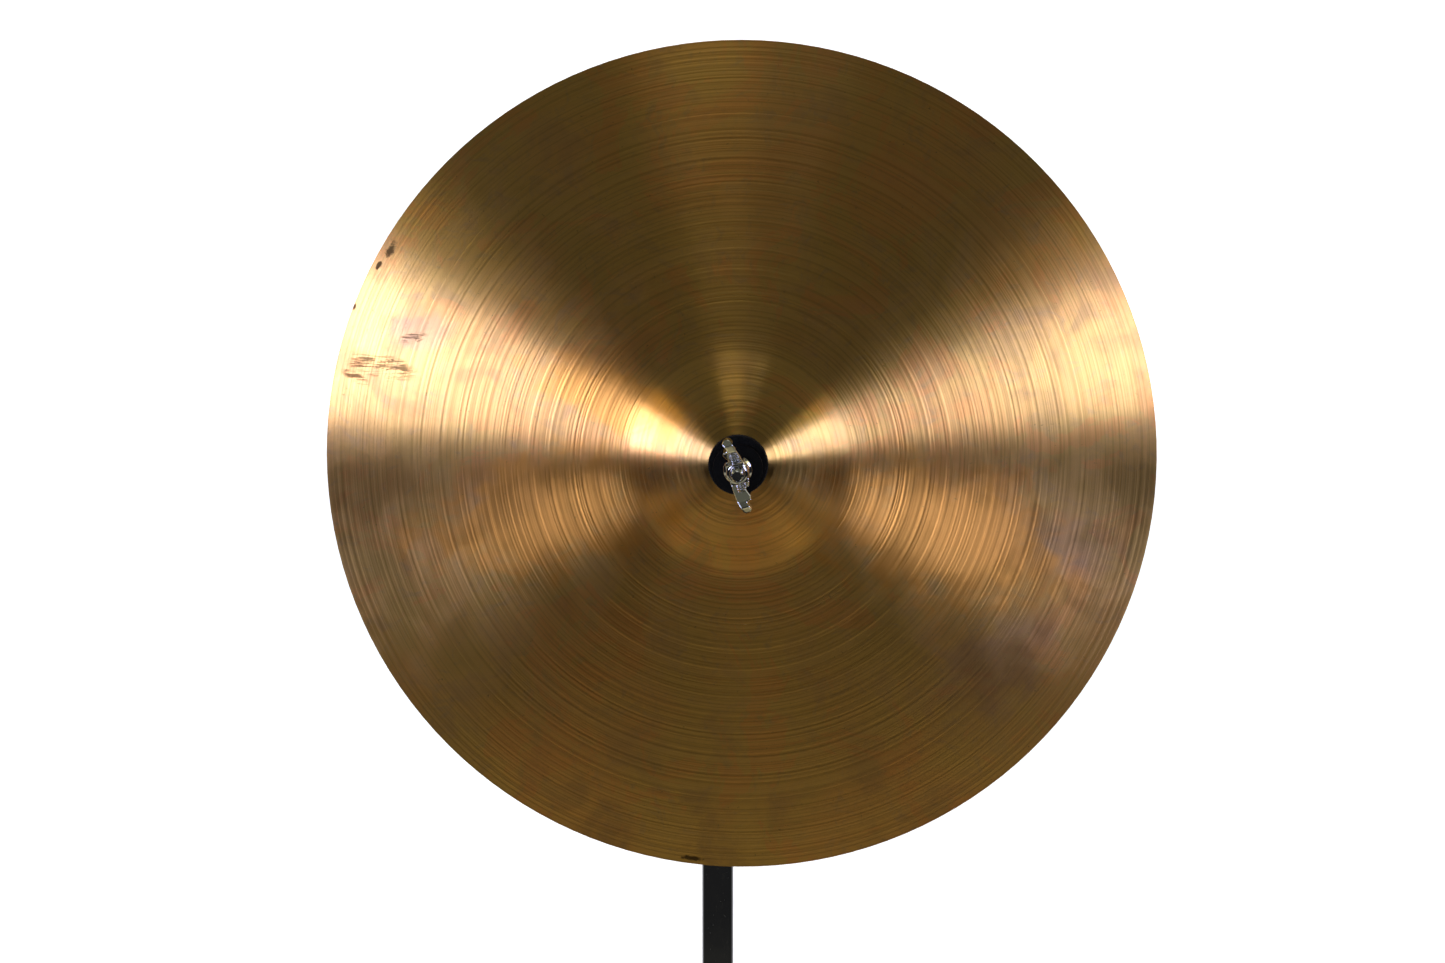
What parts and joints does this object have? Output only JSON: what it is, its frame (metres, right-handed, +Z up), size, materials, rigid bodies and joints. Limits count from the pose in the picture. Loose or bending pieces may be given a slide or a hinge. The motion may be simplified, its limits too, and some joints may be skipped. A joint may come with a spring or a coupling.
{
  "type": "crash cymbal",
  "caption": "Lathed bronze crash cymbal clamped between felts on a tilter's threaded rod, with a wing nut, on a stand's upper tube.",
  "frame": {"origin": "centre of the tube's lower end face, on the tube's axis", "axes": "+Z up along the tube; -Y along the cymbal's rod, so the cymbal's upper face looks towards -Y; +X towards the tilter's wing screw"},
  "size_m": [0.4064, 0.1189, 0.5575],
  "materials": {
    "cymbal_bronze": "lathed bronze with fine grooves and patina",
    "chrome": "polished chrome plate",
    "cast_chrome": "chrome plate on a casting",
    "zinc_steel": "zinc-plated steel",
    "black_felt": "pressed wool felt",
    "black_nylon": "moulded nylon",
    "friction_fibre": "pressed fibre"
  },
  "bodies": {
    "tube": {"upper_tube": "chrome", "tube_end_plug": "black_nylon", "tilter_base": "cast_chrome", "tube_pin": "zinc_steel", "clamp_nut": "zinc_steel", "friction_disc": "friction_fibre"},
    "tilter_arm": {"tilter_arm": "cast_chrome", "cymbal_rod": "zinc_steel", "rod_jam_nut": "zinc_steel", "seat_stop_nut": "zinc_steel", "seat_washer": "chrome", "seat_sleeve": "black_nylon"},
    "felts": {"lower_felt": "black_felt", "upper_felt": "black_felt"},
    "cymbal": {"cymbal": "cymbal_bronze"},
    "top_washer": {"top_washer": "black_nylon"},
    "wing_nut": {"wing_nut": "chrome"},
    "clamp_washers": {"clamp_washer": "zinc_steel", "spring_washer": "zinc_steel"},
    "clamp_screw": {"clamp_screw": "zinc_steel", "clamp_wing": "cast_chrome"}
  },
  "joints": [
    {"name": "tilter_tilt", "type": "hinge", "parent": "tube", "child": "tilter_arm", "pos_m": [0.0125, 0, 0.36], "axis": [-1, 0, 0], "range_deg": [0, 180]},
    {"name": "cymbal_swing", "type": "hinge", "parent": "tilter_arm", "child": "felts", "pos_m": [0.0125, -0.075, 0.36], "axis": [1, 0, 0], "range_deg": [0, 14]},
    {"name": "cymbal_spin", "type": "hinge", "parent": "felts", "child": "cymbal", "pos_m": [0.0125, -0.075, 0.36], "axis": [0, -0.9925, 0.1219], "continuous": true},
    {"name": "top_washer_slide", "type": "slide", "parent": "tilter_arm", "child": "top_washer", "axis": [0, -1, 0], "range_m": [0, 0.0121]},
    {"name": "wing_nut_turn", "type": "hinge", "parent": "top_washer", "child": "wing_nut", "pos_m": [0.0125, -0.09, 0.36], "axis": [0, -1, 0], "range_deg": [0, 4320]},
    {"name": "clamp_washer_slide", "type": "slide", "parent": "tube", "child": "clamp_washers", "axis": [1, 0, 0], "range_m": [0, 0.0021]},
    {"name": "clamp_screw_turn", "type": "hinge", "parent": "clamp_washers", "child": "clamp_screw", "pos_m": [0.022, 0, 0.36], "axis": [1, 0, 0], "range_deg": [0, 720]}
  ],
  "couplings": [
    {"joint": "top_washer_slide", "follows": "wing_nut_turn", "m_per_rad": 0.00015915},
    {"joint": "clamp_washer_slide", "follows": "clamp_screw_turn", "m_per_rad": 0.00015915}
  ]
}
